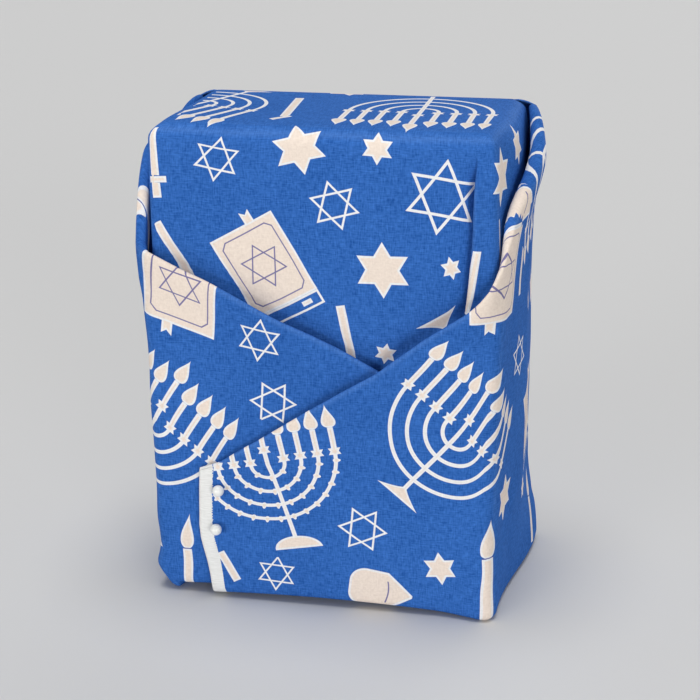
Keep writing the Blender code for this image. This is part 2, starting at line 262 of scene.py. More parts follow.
def gape(station, z):
    """How far a ply stands off near its slanted edge: a little on the front, most on the side."""
    top = ring_top(station)
    if top is None:
        return 0.0
    lift = along(EDGE_LIFT[station.side], station.across() if station.stretch == "front" else station.side * 0.05)
    lift *= ease(1 - (top - z) / EDGE_LIFT_DEPTH) ** 1.5
    wide = GAPE[station.side] * swell(station) * ease(1 - (top - z) / GAPE_DEPTH)
    share = {"front": 1.0, "front_corner": station.share}.get(station.stretch, 0.0)
    return max(wide, lift * share)


def half_fold(station, z):
    """Half the distance between a ply's two layers: its folded edge stands open on the sides."""
    top = ring_top(station)
    if top is None:
        return FOLD
    return FOLD + PUFF[station.side] * swell(station) * ease(1 - (top - z) / PUFF_DEPTH)


def selvedge(station, z):
    """How far the woven edge at the right ply's free end stands up, as it is thicker and rolls a little."""
    if station.side < 0 or station.stretch != "front":
        return 0.0
    wide = SELVEDGE + SELVEDGE_FOOT * ease(1 - z / 0.02)
    from_end = (share_at(FREE_END[-1][1], 1) - station.share) * 2 * STRAIGHT_X
    t = from_end / wide
    ridge = math.sqrt(max(1 - (2 * t - 1) ** 2, 0.0)) if t < 1 else 0.0
    return SELVEDGE_RISE * ridge * (0.8 + 0.4 * noise.noise(Vector((3.1, 1.7, 260 * z))))


def bend(station):
    """Millimetres from the middle of the parcel's nearest upright edge, where the cloth is paler: partly rubbed cotton,
    partly a painted highlight.
    """
    if station.stretch in ("back_corner", "front_corner"):
        return 0.4 + 4.5 * abs(station.share - 0.5)
    return 20.0


def place_at(station, z):
    """The station that the right ply's column passes at a height, as its free end isn't upright."""
    if station.stretch == "front" and station.side > 0:
        end = share_at(along(FREE_END, z), 1) / share_at(FREE_END[-1][1], 1)
        return Station("front", station.share * end, 1)
    return station


def ring_wall(station):
    """(place, point, print place) of a ply at one station, from the slit underneath up to its upper edge."""
    out, foot, top = ring_out(station) + FOLD, ring_foot(station), ring_top(station)
    profile = []
    for i in range(CELLS_UNDER):
        inset = blend(HOOD_Y + out - SLIT_HALF, FOOT_ROUND, i / CELLS_UNDER)
        profile.append((inset, foot, -inset))
    for i in range(CELLS_ROUND):
        turn = i / CELLS_ROUND * math.pi / 2
        profile.append((FOOT_ROUND * (1 - math.sin(turn)), foot + FOOT_ROUND * (1 - math.cos(turn)), None))
    for i in range(CELLS_FOOT):
        profile.append((0.0, blend(foot + FOOT_ROUND, HOOD_FOOT, i / CELLS_FOOT), None))
    arc_foot = HOOD_Z - TOP_ROUND
    split = arc_foot if top is None else min(arc_foot, top - LAST_CELLS)
    for i in range(CELLS_WALL + 1):
        profile.append((0.0, blend(HOOD_FOOT, split, i / CELLS_WALL), None))
    for i in range(1, CELLS_RIM + 1):
        if top is None:
            turn = i / CELLS_RIM * math.pi / 2
            profile.append(((TOP_ROUND + out) * (1 - math.cos(turn)), arc_foot + TOP_ROUND * math.sin(turn), None))
            continue
        z = blend(split, top, i / CELLS_RIM)
        climb = min(max((z - arc_foot) / TOP_ROUND, 0.0), 1.0)
        profile.append(((TOP_ROUND + out) * (1 - math.sqrt(1 - climb * climb)), z, None))
    rows = []
    for inset, z, under in profile:
        place = place_at(station, z)
        spot, normal = place.plan(out, inset)
        if inset == 0.0 or z > HEIGHT / 2:
            spot += normal * (gape(station, z) + half_fold(station, z) - FOLD + selvedge(station, z))
        up = z if under is None else under
        # Distance from the folded edge, for its paler band: partly wear, partly a painted highlight
        edge = 1000 * (top - z) if top is not None else 20.0
        rows.append((Vector((spot.x, spot.y, z)), (-station.side * place.run(), 1000 * up), min(edge, bend(station))))
    return rows


def fold_in(station):
    """Rows that take a ply's slanted edge round and back down inside the ply."""
    out, top = ring_out(station), ring_top(station)
    climb = min(max((top - HOOD_Z + TOP_ROUND) / TOP_ROUND, 0.0), 1.0)
    inset = (TOP_ROUND + out + FOLD) * (1 - math.sqrt(1 - climb * climb))
    half = half_fold(station, top)
    rows = []
    for i in range(CELLS_TURN + CELLS_INNER + 1):
        if i <= CELLS_TURN:
            turn = i / CELLS_TURN * math.pi
            shift, z = half * math.cos(turn), top + half * math.sin(turn)
            beyond = half * turn
        else:
            down = TURN_IN * (i - CELLS_TURN) / CELLS_INNER
            shift, z, beyond = -half_fold(station, top - down), top - down, half * math.pi + down
        place = place_at(station, top)
        spot, normal = place.plan(out, inset)
        spot += normal * (gape(station, min(z, top)) + shift)
        rows.append((Vector((spot.x, spot.y, z)), (-station.side * place.run(), 1000 * (top + beyond)), 1000 * beyond))
    return rows


def pleat_line(z):
    """Place across of the pleat's line at a height."""
    down = min(max((PLEAT_HIGH[1] - z) / (PLEAT_HIGH[1] - PLEAT_LOW[1]), 0.0), 1.0)
    return blend(PLEAT_HIGH[0], PLEAT_LOW[0], down ** 2.5)


def hollow(x, z):
    """How far the hood sinks in just above the plies' slanted edges, which press on it there."""
    edge = max(along(LEFT_EDGE, x), along(RIGHT_EDGE, x) if x > -0.0272 else 0.0)
    return 0.0014 * fall((z - edge - 0.0005) / 0.0030) * ease((0.044 - abs(x)) / 0.008)


def hood_stations():
    """Stations of the hood from its left wing's free edge round the front to its right wing's."""
    wing = [Station("back_corner", i / CELLS_CORNER, 1) for i in range(2, CELLS_CORNER)]
    wing += [Station("side", i / CELLS_SIDE, 1) for i in range(CELLS_SIDE + 1)]
    wing += [Station("front_corner", i / CELLS_CORNER, 1) for i in range(1, CELLS_CORNER + 1)]
    left = [Station(s.stretch, s.share, -1) for s in wing]
    dense = [PLEAT_HIGH[0] + row[0] / 1000 for row in PLEAT]
    after = 3
    before = CELLS_HOOD + 1 - len(dense) - after
    front = [blend(-STRAIGHT_X, dense[0], i / before) for i in range(1, before)]
    front += dense + [blend(dense[-1], STRAIGHT_X, i / after) for i in range(1, after)]
    front = [Station("front", share_at(x, -1), -1) for x in front]
    return left + front + wing[::-1]


def hood_wall(station):
    """Rows of the hood at one station, from its foot up and over the top edge."""
    arc_foot = HOOD_Z - TOP_ROUND
    profile = [(0.0, z, z) for z in [blend(HOOD_FOOT, arc_foot, i / CELLS_WALL) for i in range(CELLS_WALL + 1)]]
    for i in range(1, CELLS_RIM + 1):
        turn = i / CELLS_RIM * math.pi / 2
        profile.append((TOP_ROUND * (1 - math.cos(turn)), arc_foot + TOP_ROUND * math.sin(turn), arc_foot + TOP_ROUND * turn))
    rows = []
    for inset, z, up in profile:
        if station.stretch == "back_corner":
            inset, z = 0.0, min(z, HOOD_Z - TOP_ROUND)
        place, rise, folded = station, 0.0, ease((PLEAT_HIGH[1] - z) / PLEAT_FADE)
        offset = 1000 * (station.across() - PLEAT_HIGH[0])
        if station.stretch == "front":
            near = ease(1 - abs(offset) / 9)
            shift = folded * along([(row[0], row[1]) for row in PLEAT], offset) / 1000
            place = Station("front", share_at(station.across() + (pleat_line(z) - PLEAT_HIGH[0]) * near + shift, -1), -1)
            rise = folded * along([(row[0], row[2]) for row in PLEAT], offset) / 1000
            rise -= 0.0014 * math.exp(-((offset + 1.3) / 1.1) ** 2 - ((z - 0.1085) / 0.0040) ** 2)
            rise -= hollow(place.across(), z)
        elif station.side > 0:
            turn = {"front_corner": ease(station.share)}.get(station.stretch, 0.0)
            rise, offset = folded * turn * PLEAT[-1][2] / 1000, 9.0
        spot, normal = place.plan(0.0, inset)
        spot += normal * rise
        used = PLEAT_TAKES if station.side > 0 else 0.0
        if station.stretch == "front":
            used = along([(row[0], row[3]) for row in PLEAT], offset)
        across = -station.side * (station.run() - FRONT_MIDDLE) + used
        if station.stretch == "front":
            across = blend(across, 1000 * spot.x, ease(inset / TOP_ROUND))   # as on the lid
        # Distance for the paler band along the top edge and the pleat's lip: partly wear, partly a painted highlight
        edge = min(bend(station), 1000 * abs(HOOD_Z - TOP_ROUND * 0.3 - z))
        if station.stretch == "front":
            edge = min(edge, 2 * abs(offset - 0.8) + 2 * (1 - folded))
        rows.append((Vector((spot.x, spot.y, z)), (across, 1000 * up), edge))
    return rows


HEAD_NARROW = {-1: 0.006, 1: 0.028}
HEAD_NARROW_DOWN = 0.012
LOWER_CORNERS = [(1, -1, -0.0020, 0.025), (1, 1, 0.0038, 0.028)]
TUCK = (0.0094, 0.0062, 0.0031, 0.0016)   # the folded lower left corner: width, height, how far in and back


# Creases: from, toward, half width, rise
CREASES = [
    ((0.047, 0.027, 0.122), (0.050, -0.006, 0.070), 0.0030, 0.0007), ((0.047, 0.027, 0.122), (0.020, 0.032, 0.080), 0.0030, 0.0006),
    ((-0.047, 0.027, 0.122), (-0.050, 0.0, 0.075), 0.0030, 0.0006), ((-0.047, 0.027, 0.122), (-0.018, 0.032, 0.085), 0.0030, 0.0006),
    ((0.048, -0.026, 0.004), (0.049, 0.010, 0.040), 0.0035, 0.0008), ((0.047, 0.029, 0.004), (0.018, 0.032, 0.040), 0.0035, 0.0007),
    ((-0.047, 0.029, 0.004), (-0.020, 0.032, 0.036), 0.0035, 0.0007), ((-0.047, 0.024, 0.004), (-0.050, -0.008, 0.044), 0.0030, 0.0007),
    ((0.047, -0.026, 0.100), (0.049, 0.005, 0.050), 0.0030, 0.0006), ((-0.047, -0.026, 0.090), (-0.049, 0.006, 0.050), 0.0030, 0.0006),
    ((-0.0276, -0.030, 0.0312), (0.004, -0.030, 0.048), 0.0022, 0.0004), ((-0.0284, -0.030, 0.0203), (-0.002, -0.030, 0.010), 0.0022, 0.0004),
    ((0.044, -0.030, 0.092), (0.020, -0.031, 0.050), 0.0030, 0.0004),
]


def fall(t):
    """1 at 0, by a bell down to 0 on both sides."""
    return math.exp(-t * t)


def settle(point):
    """The parcel isn't a perfect box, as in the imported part."""
    x, y, z = point
    high = z / HEIGHT
    belly = math.sin(math.pi * min(max(high, 0.0), 1.0))
    x *= 1 + 0.006 * belly - HEAD_NARROW[1 if x > 0 else -1] * ease((z - HEIGHT) / HEAD_NARROW_DOWN + 1)
    y -= 0.0005 * belly * (1 - (2 * x / WIDTH) ** 2)
    x += 0.0005 * math.sin(5.1 * high + 40 * y) * belly
    y += 0.0005 * math.sin(4.3 * high + 55 * x) * belly
    for side, end, stand, reach in LOWER_CORNERS:
        near = ease((side * x - WIDTH / 3) / (WIDTH / 8)) * ease(0.5 + end * y / (DEPTH * 0.8))
        x += side * stand * near * ease(1 - z / reach)
    # The right side starts further in at the front, with a soft edge
    early = min(max((0.002 - y) / 0.028, 0.0), 1.0) * ease(z / 0.025)
    x, y = x - 0.0034 * ease((x - 0.032) / 0.016) * early, y + 0.0014 * ease((x - 0.036) / 0.011) * early
    # The lower left corner is folded under, and stands out a little above the fold
    front = min(max((0.005 - y) / 0.034, 0.0), 1.0)
    corner = 1 - z / TUCK[1] - (x + WIDTH / 2) / TUCK[0]
    left = ease((-0.036 - x) / 0.010) * front
    x -= 0.0014 * ease((-0.028 - x) / 0.014) * front * ease((z - 0.022) / 0.032)
    y -= 0.0016 * ease((x - 0.028) / 0.015) * ease((-0.008 - y) / 0.016) * ease(1 - z / 0.032)
    x += left * (0.0007 * fall((z - 0.0135) / 0.0045) - 0.0007 * fall((z - 0.0070) / 0.0025))
    x += TUCK[2] * max(corner, 0.0) * front
    y += TUCK[3] * max(corner, 0.0) * front + 0.0004 * fall(corner / 0.12) * ease((-0.018 - y) / 0.006)
    # The foot's front edge is hollow, and the top falls off toward the front
    z += 0.0016 * max(1 - (x / 0.041) ** 2, 0.0) * ease((-0.012 - y) / 0.012) * max(1 - z / 0.02, 0.0)
    z -= 0.0004 * min(max((0.020 - y) / 0.045, 0.0), 1.0) * ease((z - 0.085) / 0.04)
    z -= 0.0012 * min(max((-0.013 - y) / 0.014, 0.0), 1.0) ** 2 * ease((z - 0.117) / 0.007)
    return Vector((x, y + SET_BACK, z))


def drawn(point, start, toward, wide):
    """A soft crease of cloth that is drawn from start toward a place: 1 on its line, fading to its sides and its end."""
    line = toward - start
    share = (point - start).dot(line) / line.length_squared
    aside = (point - start - line * share).length
    return math.exp(-(aside / (wide * (0.5 + share))) ** 2) * ease(share * 4) * ease((1 - share) * 1.6) if 0 < share < 1 else 0.0


def uneven(point):
    """Small hollows and swells of cloth that is only drawn taut by hand. It fades at the ground and the top."""
    fade = ease((point.z - 0.001) / 0.01) * ease((HEIGHT - 0.0005 - point.z) / 0.004)
    sway = noise.noise_vector(point * 45) * 0.00045 + noise.noise_vector(point * 110 + Vector((7, 3, 1))) * 0.00018
    behind = ease((point.y + DEPTH * 0.3) / 0.012)
    sway += noise.noise_vector(Vector((point.x * 34, point.y * 34, point.z * 16)) + Vector((2, 9, 5))) * 0.0010 * behind
    out = Vector((point.x * 0.6, point.y, 0)).normalized()
    for start, toward, wide, rise in CREASES:
        sway += out * rise * drawn(point, Vector(start), Vector(toward), wide)
    return point + sway * fade


def add_grid(bm, columns, panel):
    """A grid of cloth: columns of (point, print place). Its loops keep the print place and faces their panel."""
    nx, ny = len(columns) - 1, len(columns[0]) - 1
    made = bmesh.ops.create_grid(bm, x_segments=nx, y_segments=ny, size=1.0)["verts"]
    uv = bm.loops.layers.uv["print"]
    mark = bm.faces.layers.int["panel"]
    edge_distance = bm.verts.layers.float["from_edge"]
    where = {}
    for v in made:
        where[v] = columns[round((v.co.x + 1) / 2 * nx)][round((v.co.y + 1) / 2 * ny)]
    for v in made:
        v.co = uneven(settle(where[v][0]))
        v[edge_distance] = where[v][2]
    for f in {f for v in made for f in v.link_faces}:
        f[mark] = panel
        for loop in f.loops:
            loop[uv].uv = where[loop.vert][1]


LEFT, RIGHT, HOOD, LID = range(4)


def lid_columns(back, front, left, right):
    """The top: stretched between its four edges. back and front run from left to right."""
    across, deep = len(back) - 1, len(left) - 1
    columns = []
    for i in range(across + 1):
        u = i / across
        rows = []
        for j in range(deep + 1):
            v = j / deep
            spot = blend(back[i], front[i], v) + blend(left[j], right[j], u)
            spot -= blend(blend(back[0], back[-1], u), blend(front[0], front[-1], u), v)
            q = 1000 * (HOOD_Z + (math.pi / 2 - 1) * TOP_ROUND + spot.y - front[i].y)
            # The third value is the distance for the paler band at the lid's edges: partly wear, partly a painted
            # highlight
            rows.append((spot, (1000 * spot.x, q), 1000 * min((spot - back[i]).length, (spot - front[i]).length) + 0.6))
        columns.append(rows)
    return columns


def cloth_mesh():
    bm = bmesh.new()
    bm.loops.layers.uv.new("print")
    bm.faces.layers.int.new("panel")
    bm.verts.layers.float.new("from_edge")
    walls = {}
    for side, panel in ((-1, LEFT), (1, RIGHT)):
        stations = ring_stations(side)
        walls[side] = [ring_wall(s) for s in stations]
        add_grid(bm, walls[side], panel)
        turned = [s for s in stations if s.stretch != "back"][CELLS_CORNER - 1:]
        add_grid(bm, [fold_in(s) for s in turned], panel)
    stations = hood_stations()
    hood = [hood_wall(s) for s in stations]
    half = CELLS_BACK // 2
    back = [c[-1][0] for c in walls[-1][half::-1]] + [c[-1][0] for c in walls[1][1:half + 1]]
    tuck = CELLS_CORNER - 2
    hood[tuck][-1] = (back[0], *hood[tuck][-1][1:])
    hood[-1 - tuck][-1] = (back[-1], *hood[-1 - tuck][-1][1:])
    add_grid(bm, hood, HOOD)
    rim = [c[-1][0] for c in hood[tuck:len(hood) - tuck]]
    turn = CELLS_SIDE + CELLS_CORNER // 2
    add_grid(bm, lid_columns(back, rim[turn:-turn], rim[:turn + 1], rim[:-turn - 2:-1]), LID)
    bmesh.ops.remove_doubles(bm, verts=bm.verts, dist=2e-5)
    bmesh.ops.recalc_face_normals(bm, faces=bm.faces)
    mesh = bpy.data.meshes.new("furoshiki_cloth")
    bm.to_mesh(mesh)
    bm.free()
    mesh.shade_smooth()
    return mesh


# The print: kind, place (mm), turn (degrees), size, and two numbers that the kind takes.
#   stars: tip to tip in mm, line width in mm
#   lamps: distance between arms in mm, top of the candles in arm distances, lean of the stem
#   book: half its width and half its height in mm.   candle: length of its body in mm, of its flame
#   bar: length and width in mm.   top (the spinning kind, without letters): scale
OUTLINE_STAR, SOLID_STAR, LAMP, BEADED_LAMP, BOOK, CANDLE, BAR, SPINNING_TOP, SELVEDGE_PRINT = range(1, 10)

HOOD_PRINT = [
    (OUTLINE_STAR, -27.4, 116.7, -9, 11.3, 0.50), (SOLID_STAR, -7.0, 120.1, 14, 13.9, 0),
    (SOLID_STAR, 12.4, 121.0, -2, 8.5, 0), (OUTLINE_STAR, 1.9, 106.2, 17, 11.8, 0.52),
    (OUTLINE_STAR, 28.0, 109.2, -9, 17.9, 0.72), (SOLID_STAR, 13.5, 90.4, 1, 14.5, 0),
    (SOLID_STAR, 30.5, 91.7, 15, 5.9, 0), (SOLID_STAR, 13.8, 68.6, -10, 5.7, 0),
    (BOOK, -16.4, 89.9, 30, 9.1, 11.0), (BAR, -38.3, 92.2, 27, 16.5, 2.2), (BAR, 3.9, 73.3, 10, 15.0, 2.2),
    (BAR, 42.0, 88.6, -4.5, 16.5, 1.7), (SOLID_STAR, 53.0, 113.8, -5, 14.6, 0), (SOLID_STAR, 70.5, 118.6, 5, 10.0, 0),
    (BAR, -42.4, 115.0, 4, 18.5, 2.6), (BAR, -41.7, 110.3, 4, 1.6, 5.0),
    (LAMP, 39.0, 58.0, -149.5, 4.4, 2.3, 0.0),
    (LAMP, -39.3, 149.6, 158, 4.3, 3.1, 0.0), (BAR, -14.6, 149.0, 4, 26.0, 2.3), (BAR, -14.2, 134.4, 140, 6.0, 1.6),
    (LAMP, 19.2, 148.0, 180, 4.65, 2.6, 0.0), (SOLID_STAR, -4.4, 174.5, 8, 13.0, 0),
    (SOLID_STAR, -58.0, 96.0, 10, 9.0, 0), (OUTLINE_STAR, 61.0, 92.0, 20, 11.0, 0.5),
    (BAR, 50.5, 96.0, 3, 16.0, 2.2), (OUTLINE_STAR, -52.0, 76.0, 10, 10.5, 0.5), (SOLID_STAR, 55.0, 74.0, 30, 8.5, 0),
]
# On the plies, places run along the cloth from the back's middle: left ply positive, right ply negative
LEFT_PRINT = [
    (BOOK, -36.1, 84.8, 159.4, 8.8, 11.0, 0.25), (OUTLINE_STAR, -17.0, 71.6, -8, 11.2, 0.48),
    (OUTLINE_STAR, -14.2, 54.9, 27, 11.2, 0.50), (LAMP, -43.9, 48.0, -40, 4.35, 2.0, -0.19),
    (CANDLE, -37.3, 12.3, 0, 12.0, 10.2, 0.010), (SOLID_STAR, 2.0, 46.0, 10, 9.0, 0), (BAR, 14.0, 50.0, 30, 12.0, 2.2),
]
RIGHT_PRINT = [
    (BEADED_LAMP, -14.8, 38.9, 11.5, 4.36, 1.8, 0.135), (LAMP, 33.5, 51.2, -39, 4.4, 2.3, 0.0),
    (OUTLINE_STAR, 9.5, 22.8, 25, 11.9, 0.50), (OUTLINE_STAR, -13.0, 7.6, -4, 10.2, 0.45),
    (SOLID_STAR, 29.4, 13.6, 8, 9.4, 0), (CANDLE, 43.6, 17.2, -1.5, 18.5, 10.1), (SPINNING_TOP, 12.6, 5.2, 83, 1.16, 0),
    (BOOK, 45.0, 90.6, 177.5, 8.8, 11.4), (SOLID_STAR, 53.4, 29.4, 0, 13.0, 0), (SOLID_STAR, 76.0, 23.5, 20, 7.2, 0),
    (BAR, -25.8, 8.8, 28, 9.6, 2.2), (OUTLINE_STAR, 63.5, 65.0, 14, 11.4, 0.48), (BAR, 61.0, 88.0, 4, 13.0, 2.0),
]
RING_PRINT = [
    (LAMP, -22.0, 92.0, 32, 4.2, 1.9, 0.0), (BEADED_LAMP, 22.0, 56.0, -14, 4.2, 1.35, -0.13),
    (BOOK, 24.0, 95.0, -24, 8.8, 11.2), (LAMP, -23.0, 36.0, 172, 4.1, 1.6, 0.0), (BOOK, 20.0, 13.0, 66, 8.8, 11.2),
    (SOLID_STAR, 1.0, 112.0, 12, 12.5, 0), (OUTLINE_STAR, -1.0, 76.0, 6, 11.2, 0.5), (SOLID_STAR, 4.4, 126.2, 188, 13.0, 0),
    (OUTLINE_STAR, -3.0, 50.0, -12, 10.4, 0.48), (SOLID_STAR, -2.0, 26.0, 20, 8.0, 0), (BAR, 2.0, 9.0, 55, 13.0, 2.2),
    (OUTLINE_STAR, 39.5, 116.0, 18, 11.0, 0.5), (SOLID_STAR, -41.0, 117.0, -8, 6.0, 0), (SOLID_STAR, 44.5, 76.0, 0, 12.0, 0),
    (CANDLE, 43.5, 28.0, 12, 14.0, 8.6), (OUTLINE_STAR, -42.0, 68.0, 15, 10.8, 0.5), (SPINNING_TOP, -42.0, 14.0, 24, 1.0, 1),
    (BEADED_LAMP, 69.0, 92.0, 18, 4.2, 1.35, 0.12), (BOOK, 62.0, 47.0, -17, 8.8, 11.2), (SOLID_STAR, 93.0, 14.0, 9, 11.0, 0),
    (BAR, 55.0, 22.0, -35, 14.0, 2.2), (OUTLINE_STAR, 68.0, 9.0, 10, 10.6, 0.48), (SOLID_STAR, 91.0, 76.0, 9, 8.0, 0),
    (OUTLINE_STAR, 47.5, 100.0, -9, 9.6, 0.46), (CANDLE, 92.0, 104.0, 178, 13.0, 9.0),
    (LAMP, -68.0, 108.0, -152, 4.2, 1.8, 0.0), (BOOK, -60.0, 43.5, 22, 8.8, 11.2), (CANDLE, -54.5, 15.5, -10, 13.0, 8.8),
    (SOLID_STAR, -50.0, 75.0, 3, 11.0, 0), (SPINNING_TOP, -90.0, 108.0, 60, 1.0, 1),
    (SOLID_STAR, -66.0, 76.0, 0, 6.0, 0), (OUTLINE_STAR, -20.0, -14.0, 0, 11.0, 0.5), (SOLID_STAR, 20.0, -15.0, 0, 12.0, 0),
    (BAR, 0.0, -16.0, 70, 15.0, 2.2), (SOLID_STAR, 70.0, -12.0, 0, 9.0, 0), (OUTLINE_STAR, -70.0, -12.0, 0, 10.0, 0.48),
]


def reach(motif):
    """Half width, lowest and highest place of a motif in its own frame, in mm."""
    kind, size, more = motif[0], motif[4], motif[5]
    if kind in (OUTLINE_STAR, SOLID_STAR):
        return size / 2 + 0.5, -size / 2 - 0.5, size / 2 + 0.5
    if kind in (LAMP, BEADED_LAMP):
        slant = abs(motif[6]) * (more + 2.3) if kind == LAMP else 0.0
        return (4.6 + slant) * size, -6.1 * size, (more + 2.3) * size
    if kind == BOOK:
        return size + 0.4 + more * abs((*motif, 0.0)[6]), -more - 4.6, more + 3.6
    if kind == CANDLE:
        return 2.4, -size - 0.4, more + 0.6
    if kind == BAR:
        return more / 2 + 0.4, -size / 2 - 0.4, size / 2 + 0.4
    return 6.6 * size, -9.2 * size, 9.6 * size


def lay_print(mesh):
    """Gives every face its nearest motif: the place in the motif's frame and the motif's numbers, for the shader."""
    loops = len(mesh.loops)
    places = np.empty(2 * loops)
    mesh.uv_layers["print"].uv.foreach_get("vector", places)
    places = places.reshape(-1, 2)
    panel = np.empty(len(mesh.polygons), dtype=np.int32)
    mesh.attributes["panel"].data.foreach_get("value", panel)
    totals = np.empty(len(mesh.polygons), dtype=np.int32)
    mesh.polygons.foreach_get("loop_total", totals)
    starts = np.concatenate(([0], np.cumsum(totals)[:-1]))
    face_of = np.repeat(np.arange(len(totals)), totals)
    middle = np.add.reduceat(places, starts) / totals[:, None]
    tables = [(HOOD_PRINT, (HOOD, LID), 0.0), (LEFT_PRINT, (LEFT,), FRONT_MIDDLE), (RIGHT_PRINT, (RIGHT,), -FRONT_MIDDLE),
              (RING_PRINT, (LEFT, RIGHT), 0.0)]
    best = np.full(len(totals), 1.2)
    at = np.zeros((loops, 3))
    as_what = np.zeros((loops, 3))
    for table, panels, shift in tables:
        here = np.isin(panel, panels)
        for motif in table:
            kind, x, y, turn, *numbers = motif
            numbers = (numbers + [0.0])[:3]
            wide, low, high = reach(motif)
            c, s = math.cos(math.radians(turn)), math.sin(math.radians(turn))
            own = np.array([[c, -s], [s, c]])
            mine = (middle - (x + shift, y)) @ own
            aside = abs(mine[:, 0])
            away = np.maximum(aside - wide, np.maximum(low - mine[:, 1], mine[:, 1] - high))
            if kind in (LAMP, BEADED_LAMP):
                foot = np.maximum(np.maximum(aside - 2.2 * numbers[0], low - mine[:, 1]), mine[:, 1])
                bowl = np.maximum(np.hypot(mine[:, 0], mine[:, 1]) - 4.3 * numbers[0], mine[:, 1])
                away = np.minimum(np.minimum(foot, bowl), np.maximum(away, -mine[:, 1]))
            taken = here & (away < best)
            best[taken] = away[taken]
            mark = taken[face_of]
            unit = numbers[0] if kind in (LAMP, BEADED_LAMP, SPINNING_TOP) else 1.0
            at[mark, :2] = (places[mark] - (x + shift, y)) @ own / unit
            at[mark, 2] = kind
            as_what[mark] = numbers
    up = np.clip(places[:, 1] / 1000, 0.0, None)
    rows = sorted(FREE_END)
    end = np.interp(up, [r[0] for r in rows], [r[1] for r in rows])
    inward = places[:, 0] + FRONT_MIDDLE - 1000 * end
    edge = (panel == RIGHT) & (np.minimum.reduceat(inward, starts) < 1000 * SELVEDGE) & (middle[:, 0] < -FRONT_MIDDLE)
    mark = edge[face_of]
    at[mark, 0], at[mark, 1], at[mark, 2] = inward[mark], places[mark, 1], SELVEDGE_PRINT
    for name, values in (("print_place", at), ("print_numbers", as_what)):
        layer = mesh.attributes.new(name, "FLOAT_VECTOR", "CORNER")
        layer.data.foreach_set("vector", values.ravel())


class Finish:
    """A material's nodes."""

    def __init__(self, name, shader="ShaderNodeBsdfPrincipled", **constants):
        self.material = bpy.data.materials.new(name)
        self.material.use_nodes = True
        self.nodes = self.material.node_tree.nodes
        self.links = self.material.node_tree.links
        self.shader = self.nodes["Principled BSDF"]
        for socket, value in constants.items():
            self.shader.inputs[socket.replace("_", " ")].default_value = value

    def add(self, kind, settings, values, output=0):
        """A node, with its settings first and then the values or signals of its inputs. Gives its output."""
        node = self.nodes.new(kind)
        for name, value in settings.items():
            setattr(node, name, value)
        for name, value in values.items():
            self.give(node.inputs[name], value)
        return Signal(self, node.outputs[output])

    def give(self, socket, value):
        if isinstance(value, Signal):
            self.links.new(value.socket, socket)
        else:
            socket.default_value = value

    def surface(self, **signals):
        for socket, signal in signals.items():
            self.give(self.shader.inputs[socket.replace("_", " ")], signal)
        return self.material

    def attribute(self, name, output="Vector"):
        return self.add("ShaderNodeAttribute", {"attribute_name": name}, {}, output)

    def noise(self, place, scale, detail=2.0, roughness=0.5):
        values = {"Vector": place, "Scale": scale, "Detail": detail, "Roughness": roughness}
        return self.add("ShaderNodeTexNoise", {}, values, "Fac")

    def stretch(self, place, scale):
        return self.add("ShaderNodeVectorMath", {"operation": "MULTIPLY"}, {0: place, 1: scale})

    def mix(self, share, first, second):
        values = {"Factor": share, 6: first, 7: second}
        return self.add("ShaderNodeMix", {"data_type": "RGBA"}, values, 2)


class Signal:
    """A node's output, for sums written as Python expressions."""

    def __init__(self, finish, socket):
        self.finish, self.socket = finish, socket

    def maths(self, operation, first, second=0.0, third=0.0):
        return self.finish.add("ShaderNodeMath", {"operation": operation}, {0: first, 1: second, 2: third})

    def __add__(self, other):
        return self.maths("ADD", self, other)

    def __radd__(self, other):
        return self.maths("ADD", other, self)

    def __sub__(self, other):
        return self.maths("SUBTRACT", self, other)

    def __rsub__(self, other):
        return self.maths("SUBTRACT", other, self)

    def __mul__(self, other):
        return self.maths("MULTIPLY", self, other)

    def __rmul__(self, other):
        return self.maths("MULTIPLY", other, self)

    def __truediv__(self, other):
        return self.maths("DIVIDE", self, other)

    def __neg__(self):
        return self.maths("MULTIPLY", self, -1.0)

    def __abs__(self):
        return self.maths("ABSOLUTE", self)

    def max(self, other):
        return self.maths("MAXIMUM", self, other)

    def min(self, other):
        return self.maths("MINIMUM", self, other)

    def sqrt(self):
        return self.maths("SQRT", self)

    def clamp(self, low=0.0, high=1.0):
        return self.finish.add("ShaderNodeClamp", {}, {"Value": self, "Min": low, "Max": high})

    def is_kind(self, kind):
        return self.maths("COMPARE", self, float(kind), 0.4)

    def split(self):
        parts = self.finish.add("ShaderNodeSeparateXYZ", {}, {"Vector": self}).socket.node.outputs
        return [Signal(self.finish, part) for part in parts]


def ink(distance, soft=0.07):
    """1 inside a shape and 0 outside it, from the signed distance in mm."""
    return (0.5 - distance / soft).clamp()


def box(x, y, wide, high):
    """Distance from a box of the half sizes wide and high."""
    return (abs(x) - wide).max(abs(y) - high)


def flame(x, y, wide, high):
    """A drop: round below and pointed above, standing on y = 0."""
    t = (y / high).clamp()
    rest = 1.0 - t
    return (abs(x) - 2.95 * wide * (t * rest).sqrt() * rest).max(box(x, y - 0.5 * high, 9.0, 0.5 * high))


def triangles(x, y):
    """Distances that say where a place is in an upright and in an upside-down triangle."""
    a, b, c = -y, 0.866 * x + 0.5 * y, 0.5 * y - 0.866 * x
    return a.max(b).max(c), -(a.min(b).min(c))


